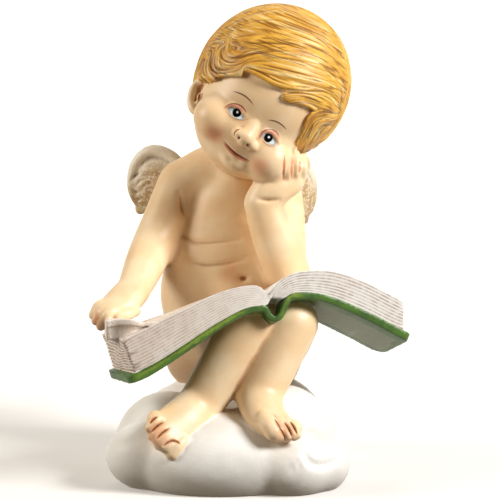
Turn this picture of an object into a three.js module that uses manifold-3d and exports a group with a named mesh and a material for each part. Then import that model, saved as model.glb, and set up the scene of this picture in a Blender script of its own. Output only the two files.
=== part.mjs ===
// Reading angel: a cherub cast in resin, seated on a cloud with a large open book across its lap.
// The figure, its wings, the book and the cloud are one casting, so the part is one solid.
// Millimetres, +Z up, the viewer stands at -Y. The origin is on the flat underside of the cloud.
import * as THREE from 'three';
import { mergeVertices } from 'three/addons/utils/BufferGeometryUtils.js';
import Module from 'manifold-3d';

const wasm = await Module();
wasm.setup();

const at = (x, y, z) => new THREE.Vector3(x, y, z);
const radians = THREE.MathUtils.degToRad;

// Driving dimensions

// The pose: where the joints of the figure are. Left and right are the angel's own.
const HEAD = at(9, 9, 142);
const NECK = at(-4, 17, 113);
const CHEST = at(-5.5, 19, 97);
const BELLY = at(-5, 17.5, 68);
const PELVIS = at(-4, 19, 44);
const ARM_RIGHT = { shoulder: at(-26.5, 20, 108.5), elbow: at(-37, 9, 86), wrist: at(-43.8, -13, 70.3) };
const ARM_LEFT = { shoulder: at(12, 19, 106), elbow: at(14, -4, 77), wrist: at(4.8, -8.5, 103) };
const LEG_RIGHT = { hip: at(-19, 13, 42), knee: at(1, -26, 60), ankle: at(-18.5, -30, 29.5) };
const LEG_LEFT = { hip: at(5, 12, 43.5), knee: at(15.5, -24, 59.5), ankle: at(3.2, -30.5, 34) };

// The head leans on the left hand and looks out at the viewer.
const HEAD_ROLL = 39;
const HEAD_PITCH = -4;
const HEAD_YAW = 4;

// Radii of the limbs at their stations
const ARM = [9.8, 9, 8.6, 8, 6.8];
const THIGH = [14.5, 13.5, 10.4];
const CALF = 9.8;

// The open book: the gutter at the near edge, its turn, depth and overhang, and half its spread
const BOOK = { gutter: at(6.8, -38, 70.6), yaw: 15, depth: 27, overhang: 1.5, halfSpread: 54 };
const BOARD = { atSpine: 2.2, atEnds: 3.2 };
// How far the book falls away from the viewer, in degrees, from its left end to its right
const BOOK_SLOPES = [3.5, 9.5, 13, 15, 17, 18, 18];
const BOOK_SKEW = 0.1;

// Facets: the longest edge aimed at on broad forms, on limbs and on small forms
const BROAD_EDGE = 9.5;
const LIMB_EDGE = 6.2;
const FINE_EDGE = 3;
const SHORTEST_EDGE = 1.2;

// Closed solids from geometry, joined and cut

function solid(geometry) {
  const bare = new THREE.BufferGeometry().setAttribute('position', geometry.attributes.position.clone());
  if (geometry.index) bare.setIndex(geometry.index.clone());
  const merged = mergeVertices(bare, 1e-4);
  const index = merged.index.array;
  const corners = [];
  for (let i = 0; i < index.length; i += 3) {
    const [a, b, c] = index.slice(i, i + 3);
    if (a !== b && b !== c && c !== a) corners.push(a, b, c);
  }
  return new wasm.Manifold(new wasm.Mesh({
    numProp: 3,
    vertProperties: new Float32Array(merged.attributes.position.array),
    triVerts: new Uint32Array(corners),
  }));
}

function geometryOf(manifold) {
  const mesh = manifold.getMesh();
  return new THREE.BufferGeometry()
    .setAttribute('position', new THREE.BufferAttribute(new Float32Array(mesh.vertProperties), 3))
    .setIndex(new THREE.BufferAttribute(new Uint32Array(mesh.triVerts), 1));
}

// Joining leaves slivers where forms cross. Edges under the shortest length are drawn together into
// one corner, wherever that keeps the surface closed and turns no face over.
function withoutSlivers(geometry, shortest) {
  const places = [];
  const position = geometry.attributes.position;
  for (let i = 0; i < position.count; i++) {
    places.push(new THREE.Vector3().fromBufferAttribute(position, i));
  }
  const faces = [];
  for (let i = 0; i < geometry.index.count; i += 3) {
    faces.push([0, 1, 2].map((k) => geometry.index.getX(i + k)));
  }
  const around = places.map(() => new Set());
  faces.forEach((face, f) => face.forEach((corner) => around[corner].add(f)));
  const neighbours = (corner) => {
    const corners = [...around[corner]].flatMap((f) => faces[f]);
    return new Set(corners.filter((c) => c !== corner));
  };
  const normal = ([a, b, c]) => b.clone().sub(a).cross(c.clone().sub(a));

  const tiny = 0.05 * shortest ** 2;
  const turnsOver = (corner, other, place) => [...around[corner]].some((f) => {
    if (faces[f].includes(other)) return false;
    const now = normal(faces[f].map((c) => places[c]));
    if (now.length() < tiny) return false;
    const then = normal(faces[f].map((c) => (c === corner ? place : places[c])));
    return now.dot(then) < 0.4 * now.length() * then.length();
  });

  const onGround = (corner) => Math.abs(places[corner].z) < 1e-6;
  function draw(keep, drop) {
    const shared = [...neighbours(keep)].filter((c) => neighbours(drop).has(c));
    if (shared.length !== 2 || onGround(drop)) return false;
    const place = onGround(keep) ? places[keep].clone() : places[keep].clone().lerp(places[drop], 0.5);
    if (turnsOver(keep, drop, place) || turnsOver(drop, keep, place)) return false;
    for (const f of [...around[drop]]) {
      if (faces[f].includes(keep)) {
        faces[f].forEach((c) => around[c].delete(f));
        faces[f] = null;
      } else {
        faces[f] = faces[f].map((c) => (c === drop ? keep : c));
        around[keep].add(f);
      }
    }
    around[drop].clear();
    places[keep].copy(place);
    return true;
  }

  for (let drawn = true; drawn;) {
    drawn = false;
    for (let f = 0; f < faces.length; f++) {
      for (let k = 0; k < 3 && faces[f]; k++) {
        const [a, b] = [faces[f][k], faces[f][(k + 1) % 3]];
        const short = places[a].distanceTo(places[b]) < shortest;
        if (short && (draw(a, b) || draw(b, a))) drawn = true;
      }
    }
  }
  return new THREE.BufferGeometry().setFromPoints(places).setIndex(faces.filter(Boolean).flat());
}

const join = (...solids) => solids.flat().reduce((whole, piece) => whole.add(piece));

const sidesFor = (radius, edge) => Math.max(6, Math.round((2 * Math.PI * radius) / edge));

// A smooth run of values through a list, read at t from 0 to 1.
function along(values, t) {
  const spline = new THREE.CatmullRomCurve3(values.map((v) => at(v, 0, 0)), false, 'catmullrom', 0.5);
  return values.length > 1 ? spline.getPoint(t).x : values[0];
}

// An ellipsoid. turn is a quaternion, for one that isn't upright.
function ball(centre, radii, { edge = BROAD_EDGE, turn = new THREE.Quaternion() } = {}) {
  const sides = sidesFor(Math.max(...radii), edge);
  const shape = new THREE.SphereGeometry(1, sides, Math.max(4, Math.round(sides / 2)));
  return solid(shape.applyMatrix4(new THREE.Matrix4().compose(centre, turn, at(...radii))));
}

// A rounded limb: a capsule bent along a curve through the joints, with its own width at each station.
// flat is its depth as a share of its width, and across is the direction that the width is measured in.
function limb(joints, radii, { edge = LIMB_EDGE, flat = [1], across = at(1, 0, 0) } = {}) {
  const path = new THREE.CatmullRomCurve3(joints);
  const sides = sidesFor(Math.max(...radii), edge);
  const runs = Math.max(joints.length - 1, Math.round(path.getLength() / edge));
  const shape = new THREE.CapsuleGeometry(1, 1, Math.max(2, Math.round(sides / 6)), sides, runs);
  const places = shape.attributes.position;
  const v = new THREE.Vector3();
  for (let i = 0; i < places.count; i++) {
    v.fromBufferAttribute(places, i);
    const t = THREE.MathUtils.clamp(v.y + 0.5, 0, 1);
    const past = v.y + 0.5 - t;
    const run = path.getTangent(t);
    const side = across.clone().addScaledVector(run, -across.dot(run)).normalize();
    const front = side.clone().cross(run);
    const radius = along(radii, t);
    const point = path.getPoint(t)
      .addScaledVector(run, past * radius)
      .addScaledVector(side, v.x * radius)
      .addScaledVector(front, v.z * radius * along(flat, t));
    places.setXYZ(i, point.x, point.y, point.z);
  }
  return solid(shape);
}

// Torso, neck and shoulders

function torso() {
  const trunk = limb([PELVIS, BELLY, CHEST, NECK], [26, 30.5, 21.5, 12], {
    edge: BROAD_EDGE, flat: [0.7, 0.66, 0.7, 0.85],
  });
  const seat = ball(PELVIS.clone().add(at(-3, 3, -4)), [26, 20, 18]);
  const neck = limb([NECK, HEAD.clone().lerp(NECK, 0.45)], [11.5, 11.5]);
  const nape = NECK.clone().add(at(-6, 2, 2));
  const yoke = limb([ARM_RIGHT.shoulder, nape, ARM_LEFT.shoulder], [9.4, 9.8, 9], { across: at(0, 0, 1) });
  return [trunk, seat, neck, yoke];
}

// Head: skull, jaw, cheeks, nose and ears. Head places are right, forward and up of its centre.

const headTurn = [[at(0, 1, 0), HEAD_ROLL], [at(1, 0, 0), HEAD_PITCH], [at(0, 0, 1), HEAD_YAW]].reduce(
  (turn, [axis, angle]) => turn.multiply(new THREE.Quaternion().setFromAxisAngle(axis, radians(angle))),
  new THREE.Quaternion(),
);
const headPlace = new THREE.Matrix4().compose(HEAD, headTurn, at(1, 1, 1));
const inHead = (right, forward, up) => at(right, -forward, up).applyMatrix4(headPlace);
const headBall = (place, radii, edge) => ball(inHead(...place), radii, { edge, turn: headTurn });

function head() {
  const skull = headBall([-2.5, 0, 1], [25.5, 30, 30.5], 8.8);
  const jaw = headBall([-0.9, 6, -15], [21.7, 21.5, 18.8], 8);
  const cheeks = [
    headBall([-12.5, 15, -19.8], [10, 10, 9.2], 6.5),
    headBall([11.5, 16.5, -20], [10.2, 11, 9.6], 6.5),
  ];
  const nose = limb([inHead(1, 26, -12), inHead(2.2, 28.6, -18.5)], [2, 2.9], { edge: FINE_EDGE });
  const nostrils = [-0.6, 4.6].map((right) => headBall([right, 26.6, -19.4], [1.9, 2.2, 1.7], FINE_EDGE));
  const chin = headBall([1.5, 17.5, -28], [6.5, 5.5, 4.4], FINE_EDGE);
  const ears = [-1, 1].map((side) => headBall([side * 23.4, 5.2, -16.6], [3.8, 3, 6.8], FINE_EDGE));
  return [skull, jaw, ...cheeks, nose, ...nostrils, chin, ...ears];
}

// Hair: a cap proud of the skull with the face cut out of it, and locks that sweep from the parting.

const CAP = { centre: [-3.6, -1.5, 4], radii: [29.8, 33, 31.6] };

// A place on the cap, by the angle round from the face and the angle up, and how far it stands proud.
function onCap(round, up, proud) {
  const [x, y, z] = CAP.radii.map((radius) => radius + proud);
  const [a, b] = [radians(round), radians(up)];
  const [right, forward, above] = CAP.centre;
  return inHead(
    right + x * Math.sin(a) * Math.cos(b),
    forward + y * Math.cos(a) * Math.cos(b),
    above + z * Math.sin(b),
  );
}

function hair() {
  const cap = headBall(CAP.centre, CAP.radii, 8);
  const opening = new THREE.Shape();
  opening.moveTo(-23, -16).quadraticCurveTo(-23.5, -5, -15, -1).lineTo(-14.4, 2.2)
    .lineTo(1, 5).lineTo(2.1, 2.7).quadraticCurveTo(8, 3.6, 14.6, 6.6).lineTo(14.8, 0)
    .lineTo(16.3, -7.6).lineTo(20.6, -8.4).lineTo(26, -60).lineTo(-23, -60);
  const reach = 60;
  const face = new THREE.ExtrudeGeometry(opening, { depth: reach, bevelEnabled: false, curveSegments: 4 });
  face.rotateX(Math.PI / 2).applyMatrix4(headPlace);
  // The lower edge runs from the temples down to the nape.
  const napeSlope = 18;
  const napeDrop = 15;
  const below = new THREE.BoxGeometry(120, 120, 60).translate(0, 0, -30)
    .rotateX(radians(-napeSlope)).translate(0, 0, -napeDrop).applyMatrix4(headPlace);
  const locks = [0, 1, 2, 3].map((i) => {
    const start = onCap(-58 + i * 12, 30 + i * 12, -4.4);
    const crown = onCap(-8 + i * 12, 28 + i * 11, -4.2);
    const end = onCap(40 + i * 10, 10 + i * 12, -3.8);
    return limb([start, crown, end], [3.4, 5, 3], { across: at(0, 0, 1) });
  });
  return [cap.subtract(solid(face)).subtract(solid(below)), ...locks];
}

// Arms and hands

const halfway = (from, to) => from.clone().lerp(to, 0.5);

function rightArm({ shoulder, elbow, wrist }) {
  return limb([shoulder, halfway(shoulder, elbow), elbow, halfway(elbow, wrist), wrist], ARM);
}

function leftArm({ shoulder, elbow, wrist }) {
  const upper = limb([shoulder, halfway(shoulder, elbow), elbow], [9, 9, 8.4]);
  const lower = limb([elbow, halfway(elbow, wrist), wrist], [8.4, 8.6, 7]);
  return [upper, lower];
}

// The left hand is a loose fist under the cheek: the fingers stand side by side against it.
function leftHand() {
  const palm = limb([ARM_LEFT.wrist, at(8.5, -9, 108.2), at(14.9, -7, 111.9)], [7.2, 7.4, 6.4], {
    edge: 4.6, flat: [0.85],
  });
  const fingers = [0, 1, 2, 3].map((i) => {
    const knuckle = at(11.6 + i * 2.75, -11.5 + i * 1.15, 111.2);
    const bend = at(11.3 + i * 3, -13.6 + i * 1.35, 116.9);
    const tip = at(12 + i * 2.65, -11 + i * 1.65, 121.8 - i * 0.3);
    return limb([knuckle, bend, tip], [1.7, 1.75, 1.5], { edge: FINE_EDGE });
  });
  const heel = ball(at(14, -7.5, 116.5), [6, 5, 6], { edge: 4.6 });
  return [palm, heel, ...fingers];
}

// The right hand lies over the far corner of the open pages, its fingers curled round the edge.
function rightHand() {
  const palm = limb([ARM_RIGHT.wrist, at(-48, -19, 66.4), at(-51.4, -24, 64.8)], [6.8, 7.8, 6.8], {
    edge: 4.6, flat: [0.9, 0.7, 0.55], across: at(0.8, -0.6, 0),
  });
  const fingers = [0, 1, 2].map((i) => limb(
    [
      at(-50.9 + i * 1.65, -20 - i * 3, 66.5 - i * 1.05),
      at(-55.6 + i * 1.9, -22 - i * 3.8, 65.8 - i * 0.9),
      at(-58.1 + i * 1.7, -22 - i * 3.8, 62.3 - i * 1.5),
    ],
    [2.2, 2.2, 1.9],
    { edge: FINE_EDGE },
  ));
  const thumb = limb([at(-42.6, -22, 63.8), at(-44.9, -27, 63.4), at(-48.5, -29, 63.1)], [2.2, 2.2, 1.9], {
    edge: FINE_EDGE,
  });
  return [palm, ...fingers, thumb];
}

// Legs and feet

function leg({ hip, knee, ankle }, heel) {
  const thigh = limb([hip, halfway(hip, knee), knee], THIGH, { edge: 9 });
  return [thigh, limb([knee, halfway(knee, ankle), ankle], [THIGH.at(-1), CALF, heel])];
}

// A foot from the ankle to its toes. The toes stand in a row from the big toe to the little one, each a
// share of the way along it, and their tips run in a bow.
function foot({ stations, radii, across, roots, tips, bow, shares, sizes }) {
  const sole = limb(stations, radii, { edge: 4.6, flat: [0.95, 0.75, 0.5], across });
  const toes = shares.map((share, i) => {
    const root = roots[0].clone().lerp(roots[1], share);
    const tip = tips[0].clone().lerp(tips[1], share).addScaledVector(bow, 4 * share * (1 - share));
    return limb([root, tip], [sizes[i]], { edge: FINE_EDGE });
  });
  return [sole, ...toes];
}

const rightFoot = () => foot({
  stations: [LEG_RIGHT.ankle, at(-23.4, -39, 25.7), at(-28.8, -46, 22.6)],
  radii: [8.6, 9.2, 9.2],
  across: at(0.6, -0.1, -0.8),
  roots: [at(-24.3, -47.8, 19.9), at(-32.2, -47.8, 29.1)],
  tips: [at(-27.8, -50, 16.4), at(-35.5, -50, 27.4)],
  bow: at(-2.9, 0, 0.1),
  shares: [0, 0.3, 0.55, 0.77, 1],
  sizes: [2.7, 2.2, 1.6, 1.7, 1.2],
});

const leftFoot = () => foot({
  stations: [LEG_LEFT.ankle, at(5.5, -40, 28.3), at(10.6, -45.5, 24.3)],
  radii: [9, 8.2, 7.8],
  across: at(1, 0.1, -0.2),
  roots: [at(5.3, -46.5, 27.8), at(14.7, -46.5, 26.7)],
  tips: [at(8.6, -50.5, 23.8), at(17.3, -50.5, 22.6)],
  bow: at(0, 0, -1.4),
  shares: [0, 0.58, 0.81, 1],
  sizes: [3.4, 1.8, 1.6, 1.5],
});

// Wings: a rounded leading edge with a fan of flat feathers under it, swept back from the shoulder blade.

const WING_RIM = [[3, 3], [10, 13], [19.5, 16.2], [26.4, 10.4], [28, 1.5], [26.4, -4]];

function wing(side, root, sweep) {
  const turn = new THREE.Quaternion().setFromAxisAngle(at(0, 0, 1), radians(side * sweep));
  const inWing = (out, up, back = 0) => at(side * out, back, up).applyQuaternion(turn).add(root);
  const rim = limb(WING_RIM.map(([out, up]) => inWing(out, up, -0.8)), [2.4, 2.8, 3, 2.8, 2.3, 1.7], {
    edge: 4.5, flat: [0.9], across: at(0, 1, 0),
  });
  const shoulder = limb([inWing(-4, -6), inWing(6, 1)], [4.6, 5]);
  const vane = ball(inWing(16, 2.5), [13, 4.8, 14], { edge: 7, turn });
  const feathers = [0, 1, 2, 3].map((i) => {
    const [top, tip] = [inWing(23.5 - 4.6 * i, 4), inWing(25 - 5 * i, -7.6 - 3 * i, 0.6)];
    return limb([top, halfway(top, tip), tip], [1.2, 2.7, 2.2], {
      edge: 4.5, flat: [0.7], across: at(side, 0, 0).applyQuaternion(turn),
    });
  });
  return [rim, shoulder, vane, ...feathers];
}

// Book: two blocks of pages on one bent cover. Its places run across from the gutter, up, and away.

function inBook(across, up, away) {
  const yaw = radians(BOOK.yaw);
  const share = THREE.MathUtils.clamp((across / BOOK.halfSpread + 1) / 2, 0, 1);
  const slope = radians(along(BOOK_SLOPES, share));
  const skewed = across - BOOK_SKEW * away * THREE.MathUtils.clamp(-across / BOOK.halfSpread, 0, 1);
  return at(
    skewed * Math.cos(yaw) - away * Math.sin(yaw),
    skewed * Math.sin(yaw) + away * Math.cos(yaw),
    up - away * Math.tan(slope),
  ).add(BOOK.gutter);
}

function bookExtrusion(outline, near, far) {
  const shape = new THREE.ExtrudeGeometry(new THREE.Shape(outline), {
    depth: far - near, steps: 2, bevelEnabled: false,
  });
  const places = shape.attributes.position;
  for (let i = 0; i < places.count; i++) {
    const p = inBook(places.getX(i), places.getY(i), far - places.getZ(i));
    places.setXYZ(i, p.x, p.y, p.z);
  }
  return solid(shape);
}

const profile = (points, count = 9) =>
  new THREE.SplineCurve(points.map(([across, up]) => new THREE.Vector2(across, up))).getPoints(count);

const leftTop = profile([
  [1.2, 0.3], [-2, 3.5], [-5, 4.9], [-12, 4.4], [-23.5, 0.5], [-40, -6.9], [-53.8, -13.1],
]);
const leftBottom = profile([[-49.8, -25.6], [-39.5, -21.2], [-23.5, -11.8], [-10, -4.5], [0, -2.4]], 8);
const rightTop = profile([[0, 0.3], [1.4, 2.7], [9.4, 8.9], [20, 9.8], [31, 7.5], [42, 2.6], [52.4, -3]]);
const rightBottom = profile([[52.6, -13.9], [40, -8.2], [26, -2], [11, 0.9], [4.9, -0.8]], 8);
// The upper face of the cover: flat under each block, with a fold down into the spine between them
const coverTop = profile([
  [-52.6, -26.2], [-39.3, -20.4], [-20, -8.8], [-10, -3.8], [-1, -2.8], [2.1, -6.5],
  [5.3, -2.2], [12.5, 1.7], [27, -1.6], [43, -9.1], [55, -15.3],
], 24);
// The top leaf on the left, curled up under the hand
const leafTop = profile([[-40, -6.7], [-46.3, -6.7], [-52.5, -5.7], [-58.6, -6.2]], 5);
const leafBottom = profile([[-58.6, -8.6], [-53.4, -13.6], [-40, -9.5]], 4);

function cover() {
  const line = new THREE.SplineCurve(coverTop);
  const underside = coverTop.map((point, i) => {
    const run = line.getTangent(i / (coverTop.length - 1));
    const share = Math.abs(point.x) / BOOK.halfSpread;
    const board = THREE.MathUtils.lerp(BOARD.atSpine, BOARD.atEnds, share);
    return new THREE.Vector2(run.y, -run.x).multiplyScalar(board).add(point);
  });
  return bookExtrusion([...underside, ...coverTop.toReversed()], -BOOK.overhang, BOOK.depth + BOOK.overhang);
}

function book() {
  const left = bookExtrusion([...leftTop, ...leftBottom], 0, BOOK.depth);
  const right = bookExtrusion([...rightTop, ...rightBottom].reverse(), 0, BOOK.depth);
  const leafSetBack = 4;
  const leaf = bookExtrusion([...leafTop, ...leafBottom], leafSetBack, BOOK.depth - 1);
  return [left, right, cover(), leaf];
}

// Cloud: puffs cut flat below

function cloud() {
  const puffs = [
    [[-5, 14, 13], [36, 30, 24]],
    [[-4, -8, 9], [33, 34, 17]],
    [[-10, -30, 10], [36, 25, 18]],
    [[-36.5, -31, 11], [17, 15, 13]],
    [[-31, -14, 12], [20, 20, 20]],
    [[12, -16, 12], [21, 24, 23]],
    [[23.5, -34, 9], [14, 14, 12]],
    [[15, -38, 9], [17, 16, 13]],
    [[-27, 26, 11], [17, 17, 17]],
    [[17, 28, 11], [18, 16, 13]],
  ].map(([centre, radii]) => ball(at(...centre), radii));
  const ground = solid(new THREE.BoxGeometry(300, 300, 100).translate(0, 0, -50));
  return join(puffs).subtract(ground);
}

const rightWing = wing(-1, at(-20, 35, 104), 14);
const leftWing = wing(1, at(7.5, 35, 99), 51);
const casting = join(
  torso(), head(), hair(), rightArm(ARM_RIGHT), leftArm(ARM_LEFT), leftHand(), rightHand(),
  leg(LEG_RIGHT, 8.6), leg(LEG_LEFT, 9), rightFoot(), leftFoot(), rightWing, leftWing, book(), cloud(),
);

const angel = new THREE.Mesh(
  withoutSlivers(geometryOf(casting), SHORTEST_EDGE),
  new THREE.MeshStandardMaterial({ color: 0xd9b48a, roughness: 0.55, metalness: 0 }),
);
angel.name = 'reading_angel';

const part = new THREE.Group();
part.add(angel);

export default part;
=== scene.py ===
import math

import bpy
import numpy as np
from mathutils import Matrix, Quaternion, Vector
from mathutils.bvhtree import BVHTree
from mathutils.kdtree import KDTree


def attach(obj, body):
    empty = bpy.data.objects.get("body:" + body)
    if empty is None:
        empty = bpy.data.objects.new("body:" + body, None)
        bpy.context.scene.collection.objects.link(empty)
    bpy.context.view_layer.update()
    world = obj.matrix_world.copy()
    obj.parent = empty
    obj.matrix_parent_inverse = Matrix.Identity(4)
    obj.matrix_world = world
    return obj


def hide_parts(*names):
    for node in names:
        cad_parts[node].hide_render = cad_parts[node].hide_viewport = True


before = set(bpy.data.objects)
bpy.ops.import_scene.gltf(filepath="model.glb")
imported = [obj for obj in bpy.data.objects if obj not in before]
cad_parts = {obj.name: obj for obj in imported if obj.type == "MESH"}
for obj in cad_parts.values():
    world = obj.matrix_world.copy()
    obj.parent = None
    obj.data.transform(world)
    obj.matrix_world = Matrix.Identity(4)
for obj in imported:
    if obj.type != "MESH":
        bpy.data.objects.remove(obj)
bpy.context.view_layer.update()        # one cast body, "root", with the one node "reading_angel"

# The viewer
# A long lens a little above the angel's lap, as the photograph was taken. Places that only the
# photograph gives are named in its pixels and cast along the lines of sight onto the clay.
# All modelling is done with one unit to the millimetre, and brought to metres at the end.
MM = 0.001
FRAME_PIXELS = 500
SENSOR = 36
LENS = 135.4
FOCAL = LENS / SENSOR * FRAME_PIXELS
HALF_FRAME = FRAME_PIXELS / 2
EYE = Vector((0.2, -716.1, 159.6))
RISE = math.radians(6)
RIGHT = Vector((1, 0, 0))
UP = Vector((0, math.sin(RISE), math.cos(RISE)))
AHEAD = Vector((0, math.cos(RISE), -math.sin(RISE)))

bpy.ops.object.select_all(action="DESELECT")
bpy.ops.object.camera_add(location=EYE * MM, rotation=(math.pi / 2 - RISE, 0, 0))
camera = bpy.context.object
camera.data.lens = LENS
camera.data.sensor_width = SENSOR
bpy.context.scene.camera = camera


def sight(px, py):
    """The direction in which the viewer sees a place in the photograph."""
    return (RIGHT * (px - HALF_FRAME) + UP * (HALF_FRAME - py) + AHEAD * FOCAL).normalized()


def surface_of(clay):
    return BVHTree.FromObject(clay, bpy.context.evaluated_depsgraph_get())


def seen(surface, place, lift=0.0):
    """The point of a surface that shows at a place in the photograph, lifted off it towards its outside."""
    point, normal, _, _ = surface.ray_cast(EYE, sight(*place))
    if point is None:
        raise ValueError(f"nothing is seen at {place}")
    return point + normal * lift


def at_depth(place, depth):
    """The point that shows at a place in the photograph and lies at a given depth."""
    line = sight(*place)
    return EYE + line * ((depth - EYE.y) / line.y)


# The figure
# A chubby child's body, the bare skin of the casting, modelled in clay: balls and bent sausages
# are pressed together, smoothed into one skin, and marked with a tool. Painted in flesh tones.
HEAD = Vector((9, 9, 142))
NECK = Vector((-4, 17, 113))
CHEST = Vector((-5.5, 19, 97))
BELLY = Vector((-5, 17.5, 68))
PELVIS = Vector((-4, 19, 44))
SHOULDER_RIGHT = Vector((-26.5, 20, 108.5))
ELBOW_RIGHT = Vector((-37, 9, 86))
WRIST_RIGHT = Vector((-43.8, -13, 70.3))
SHOULDER_LEFT = Vector((12, 19, 106))
ELBOW_LEFT = Vector((14, -4, 77))
WRIST_LEFT = Vector((4.8, -8.5, 103))
HIP_RIGHT = Vector((-19, 13, 42))
KNEE_RIGHT = Vector((1, -26, 60))
ANKLE_RIGHT = Vector((-18.5, -30, 29.5))
HIP_LEFT = Vector((5, 12, 43.5))
KNEE_LEFT = Vector((15.5, -24, 59.5))
ANKLE_LEFT = Vector((3.2, -30.5, 34))
HEAD_ROLL = 39
HEAD_PITCH = -4
HEAD_YAW = 4

head_turn = Quaternion()
for axis, angle in (((0, 1, 0), HEAD_ROLL), ((1, 0, 0), HEAD_PITCH), ((0, 0, 1), HEAD_YAW)):
    head_turn = head_turn @ Quaternion(axis, math.radians(angle))


def in_head(right, forward, up):
    """A place right, forward and up of the head's centre, along the head's own axes."""
    return HEAD + head_turn @ Vector((right, -forward, up))


def spline(values, shares):
    """A smooth run through a list of points or sizes, read at shares of its length from 0 to 1."""
    run = np.asarray(values, float)
    if len(run) == 1:
        return np.repeat(run, len(shares), axis=0)
    padded = np.concatenate([2 * run[:1] - run[1:2], run, 2 * run[-1:] - run[-2:-1]])
    place = np.clip(shares, 0, 1) * (len(run) - 1)
    first = np.minimum(place.astype(int), len(run) - 2)
    part = (place - first).reshape((-1,) + (1,) * (run.ndim - 1))
    a, b, c, d = (padded[first + i] for i in range(4))
    return 0.5 * (2 * b + (c - a) * part + (2 * a - 5 * b + 4 * c - d) * part**2
                  + (3 * b - 3 * c + d - a) * part**3)


def ball(centre, radii, turn=Quaternion(), rings=20):
    bpy.ops.mesh.primitive_uv_sphere_add(segments=2 * rings, ring_count=rings, radius=1)
    clay = bpy.context.object
    clay.data.transform(Matrix.LocRotScale(Vector(centre), turn, Vector(radii)))
    return clay


def points_of(clay):
    points = np.empty(3 * len(clay.data.vertices))
    clay.data.vertices.foreach_get("co", points)
    return points.reshape(-1, 3)


def normals_of(clay):
    normals = np.empty(3 * len(clay.data.vertices))
    clay.data.vertex_normals.foreach_get("vector", normals)
    return normals.reshape(-1, 3)


def move_points(clay, points):
    clay.data.vertices.foreach_set("co", np.ascontiguousarray(points, np.float32).ravel())
    clay.data.update()


def limb(joints, radii, flat=(1,), across=(1, 0, 0), sides=20, rings=28):
    """A sausage with round ends, bent along a smooth line through the joints.

    It has its own radius at each station. flat is its depth as a share of its width, and across is
    the direction that the width is measured in.
    """
    bpy.ops.mesh.primitive_uv_sphere_add(segments=sides, ring_count=rings, radius=1)
    clay = bpy.context.object
    x, y, z = points_of(clay).T
    end_rings = 5
    station = rings * (0.5 - np.arcsin(np.clip(z, -1, 1)) / np.pi)
    share = np.clip((station - end_rings) / (rings - 2 * end_rings), 0, 1)
    into_end = np.clip(np.maximum(end_rings - station, station - rings + end_rings) / end_rings, 0, 1)
    past = np.sin(into_end * np.pi / 2) * np.where(station < end_rings, -1, 1)
    girth = np.cos(into_end * np.pi / 2)
    round_angle = np.arctan2(y, x)
    step = 1e-3
    tangent = spline(joints, np.minimum(share + step, 1)) - spline(joints, np.maximum(share - step, 0))
    tangent /= np.linalg.norm(tangent, axis=1)[:, None]
    side = np.asarray(across, float) - tangent * (tangent @ np.asarray(across, float))[:, None]
    side /= np.linalg.norm(side, axis=1)[:, None]
    front = np.cross(side, tangent)
    radius = spline(radii, share)[:, None]
    depth = spline(flat, share)[:, None]
    move_points(clay, spline(joints, share) + radius * (
        past[:, None] * tangent
        + (girth * np.cos(round_angle))[:, None] * side
        + (girth * np.sin(round_angle))[:, None] * depth * front))
    return clay


def modify(clay, kind, **settings):
    """A modifier, set and applied."""
    bpy.context.view_layer.objects.active = clay
    modifier = clay.modifiers.new(kind.title(), kind)
    for name, value in settings.items():
        setattr(modifier, name, value)
    bpy.ops.object.modifier_apply(modifier=modifier.name)


def knead(name, clays, grain, strokes):
    """Press lumps of clay into one skin of the given grain, and smooth it by a number of strokes."""
    bpy.ops.object.select_all(action="DESELECT")
    for clay in clays:
        clay.select_set(True)
    bpy.context.view_layer.objects.active = clays[0]
    bpy.ops.object.join()
    whole = bpy.context.object
    whole.name = name
    modify(whole, "REMESH", mode="VOXEL", voxel_size=grain)
    modify(whole, "SMOOTH", factor=0.5, iterations=strokes)
    return whole


def press(clay, line, width, depth):
    """Draw a rounded tool along a line of surface points. A negative depth raises a ridge instead."""
    points = points_of(clay)
    marks = spline(line, np.linspace(0, 1, 1 if len(line) == 1 else 12 * len(line)))
    reach = 3 * width
    near = np.all((points > marks.min(0) - reach) & (points < marks.max(0) + reach), axis=1).nonzero()[0]
    apart = np.linalg.norm(points[near, None] - marks[None], axis=2)
    nearest = apart.argmin(1)
    share = nearest / max(len(marks) - 1, 1)
    fade = 1 if len(marks) == 1 else np.sin(np.pi * (0.08 + 0.84 * share)) ** 0.7
    points[near] -= normals_of(clay)[near] * (depth * fade * np.exp(-(apart.min(1) / width) ** 2))[:, None]
    move_points(clay, points)


def trunk_and_arms():
    right_arm = [SHOULDER_RIGHT, SHOULDER_RIGHT.lerp(ELBOW_RIGHT, 0.5), ELBOW_RIGHT,
                 ELBOW_RIGHT.lerp(WRIST_RIGHT, 0.5), WRIST_RIGHT]
    return [
        limb([PELVIS, BELLY, CHEST, NECK], (26, 30.5, 21.5, 12), flat=(0.7, 0.66, 0.7, 0.85)),
        ball(PELVIS + Vector((-3, 3, -4)), (26, 20, 18)),
        limb([NECK, HEAD.lerp(NECK, 0.45)], (11.5, 11.5)),
        limb([SHOULDER_RIGHT, NECK + Vector((-6, 2, 2)), SHOULDER_LEFT], (9.4, 9.8, 9), across=(0, 0, 1)),
        limb(right_arm, (9.8, 9, 8.6, 8, 6.6)),
        limb([SHOULDER_LEFT, SHOULDER_LEFT.lerp(ELBOW_LEFT, 0.5), ELBOW_LEFT], (9, 9, 8.4)),
    ]


# The backs of the hands from the wrist on, in photograph pixels with a depth in millimetres
FIST_BACK = (((272, 190), -9), ((289, 180), -7))
HAND_BACK = (((121, 303), -19), ((111, 309), -24))


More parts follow.
